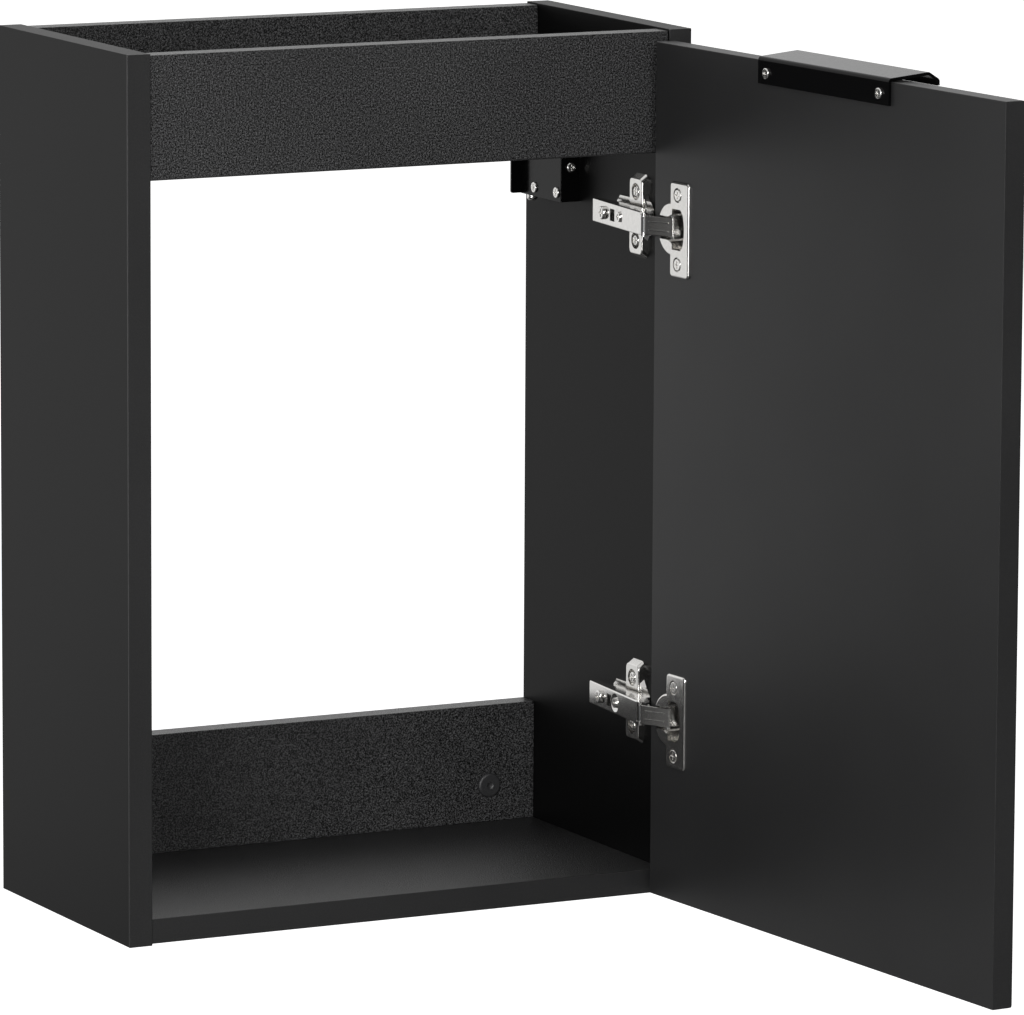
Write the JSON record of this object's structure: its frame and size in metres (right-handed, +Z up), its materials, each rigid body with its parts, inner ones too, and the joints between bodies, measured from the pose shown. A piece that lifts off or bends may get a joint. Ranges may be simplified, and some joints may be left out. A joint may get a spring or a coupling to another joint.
{
  "type": "under-basin wall cabinet",
  "caption": "Narrow wall-hung cabinet for under a basin: board shell open at the top and back, hinged door with an edge pull, adjustable wall hangers.",
  "frame": {"origin": "middle of the back face of the back top rail, where the cabinet meets the wall", "axes": "+Z up; +Y from the cabinet into the wall; +X to the hinge side, on the right when facing the door"},
  "size_m": [0.4244, 0.606, 0.57],
  "materials": {
    "board": "black fine-textured laminate on wood-based board",
    "edge_band": "black satin edging",
    "black_plastic": "black moulded",
    "black_steel": "black powder coat",
    "hook_steel": "zinc plated",
    "plated_steel": "bright nickel plated",
    "screw_steel": "bright zinc plated",
    "pin_steel": "burnished rivet steel",
    "cast_zinc": "die-cast",
    "dowel_wood": "plain beech"
  },
  "bodies": {
    "carcass": {"side_panel_left": "board", "side_panel_right": "board", "side_edge_band_left": "edge_band", "side_edge_band_right": "edge_band", "bottom_panel": "board", "bottom_edge_band": "edge_band", "front_top_rail": "board", "front_rail_edge_band": "edge_band", "back_top_rail": "board", "back_bottom_rail": "board", "cam_locks": "cast_zinc", "cam_bolts": "plated_steel", "wood_dowels": "dowel_wood", "cam_cover_caps": "black_plastic", "hanger_housing_left": "black_steel", "hanger_housing_right": "black_steel", "hanger_fixing_screws": "screw_steel", "hanger_depth_screw_left": "screw_steel", "hanger_depth_screw_right": "screw_steel", "hanger_height_screw_left": "screw_steel", "hanger_height_screw_right": "screw_steel", "hinge_plate_upper": "plated_steel", "hinge_plate_lower": "plated_steel", "plate_screws": "screw_steel", "hinge_arm_upper": "plated_steel", "hinge_arm_lower": "plated_steel", "depth_fixing_screws": "screw_steel", "overlay_screws": "screw_steel", "arm_pins": "pin_steel"},
    "outer_links": {"outer_link_upper": "plated_steel", "outer_link_lower": "plated_steel"},
    "inner_links": {"inner_link_upper": "plated_steel", "inner_link_lower": "plated_steel"},
    "door": {"door_panel": "board", "edge_pull": "black_steel", "pull_screws": "screw_steel", "hinge_cup_upper": "plated_steel", "hinge_cup_lower": "plated_steel", "cup_screws": "screw_steel", "cup_pins": "pin_steel"},
    "hook_left": {"hanger_hook_left": "hook_steel"},
    "hook_right": {"hanger_hook_right": "hook_steel"}
  },
  "joints": [
    {"name": "outer_links_swing", "type": "hinge", "parent": "carcass", "child": "outer_links", "pos_m": [0.165, -0.20457, -0.0843], "axis": [0, 0, 1], "range_deg": [-3.5, 47.5]},
    {"name": "door_swing", "type": "hinge", "parent": "outer_links", "child": "door", "pos_m": [0.17566, -0.22293, -0.0843], "axis": [0, 0, 1], "range_deg": [-141, 9]},
    {"name": "inner_links_swing", "type": "hinge", "parent": "carcass", "child": "inner_links", "pos_m": [0.17091, -0.20082, -0.0843], "axis": [0, 0, 1], "range_deg": [-3, 40]},
    {"name": "hook_lift_left", "type": "slide", "parent": "carcass", "child": "hook_left", "axis": [0, 0, 1], "range_m": [-0.005, 0.005]},
    {"name": "hook_lift_right", "type": "slide", "parent": "carcass", "child": "hook_right", "axis": [0, 0, 1], "range_m": [-0.005, 0.005]}
  ],
  "couplings": [
    {"joint": "outer_links_swing", "follows": "door_swing", "ratio": -0.33333},
    {"joint": "inner_links_swing", "follows": "door_swing", "ratio": -0.28}
  ]
}
